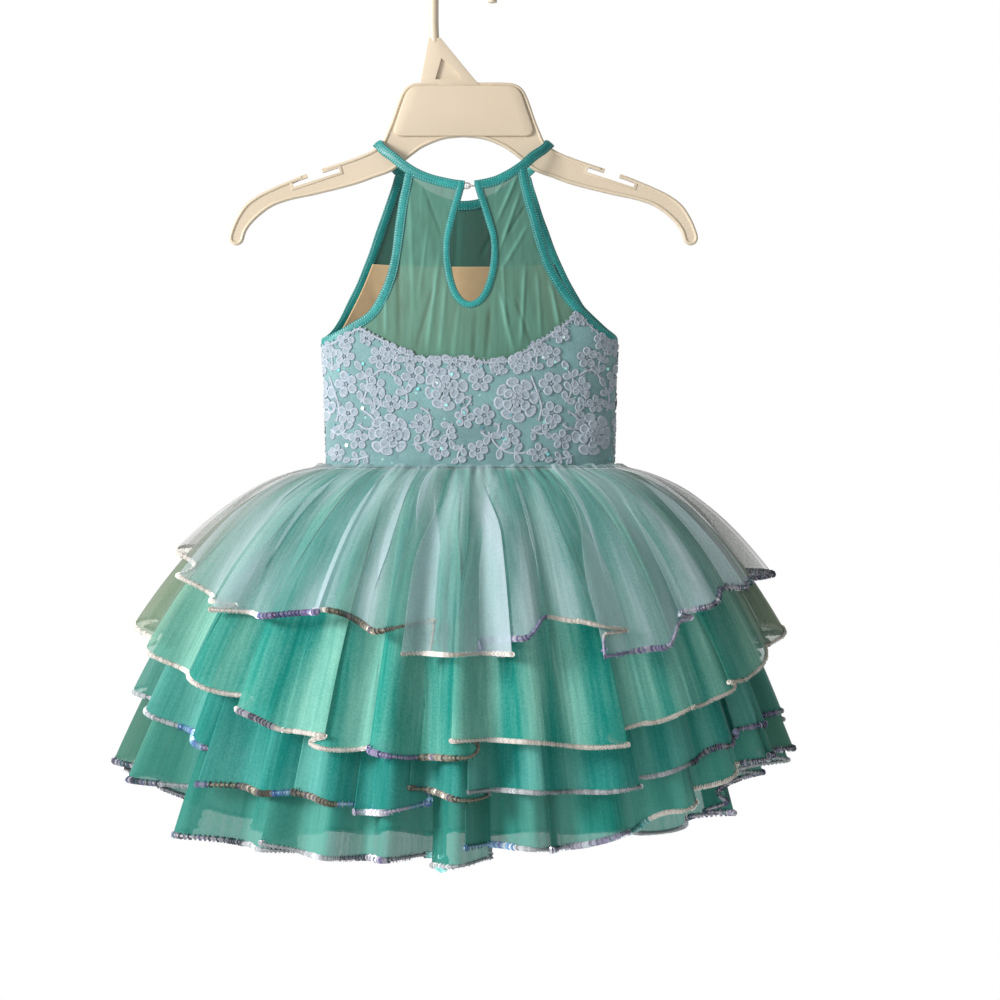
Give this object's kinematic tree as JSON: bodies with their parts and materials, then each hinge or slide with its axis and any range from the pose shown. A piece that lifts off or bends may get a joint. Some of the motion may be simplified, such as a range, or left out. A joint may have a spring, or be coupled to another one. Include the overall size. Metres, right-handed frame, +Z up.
{
  "type": "child's tutu dance costume on a plastic hanger",
  "caption": "Child's halter-neck tutu costume with a keyhole back, a lace bodice and tiered tulle ruffles, hanging on a beige plastic hanger.",
  "frame": {"origin": "the seat of the hanger's hook: the point inside the top of the hook that rests on a rod", "axes": "+Z up, +X towards the wearer's right as the back is looked at, +Y towards the costume's front; the keyhole back faces -Y"},
  "size_m": [0.517, 0.332, 0.6892],
  "materials": {
    "hanger_plastic": "moulded beige, satin",
    "spandex_binding": "shiny teal stretch binding with coverstitching",
    "power_mesh": "sheer green power mesh",
    "lace_fabric": "corded floral lace over net and sequinned teal knit",
    "nude_lining": "matt nude tricot",
    "tulle_lavender": "soft sheer tulle with a beaded hem",
    "tulle_mint": "soft sheer tulle with a beaded hem",
    "tulle_teal": "soft sheer tulle with a sequinned hem",
    "tulle_deep": "soft sheer tulle with a sequinned hem",
    "closure_metal": "nickel plated wire"
  },
  "bodies": {
    "root": {"neckband": "spandex_binding", "armhole_binding_left": "spandex_binding", "armhole_binding_right": "spandex_binding", "keyhole_binding": "spandex_binding", "back_yoke": "power_mesh", "front_yoke": "power_mesh", "back_bodice": "lace_fabric", "front_bodice": "lace_fabric", "front_lining": "nude_lining", "closure_eye": "closure_metal", "closure_hook": "closure_metal", "tier_1_lavender": "tulle_lavender", "tier_2_mint": "tulle_mint", "tier_3_teal": "tulle_teal", "tier_4_deep": "tulle_deep", "hanger_body": "hanger_plastic", "hanger_hook": "hanger_plastic"}
  },
  "joints": []
}
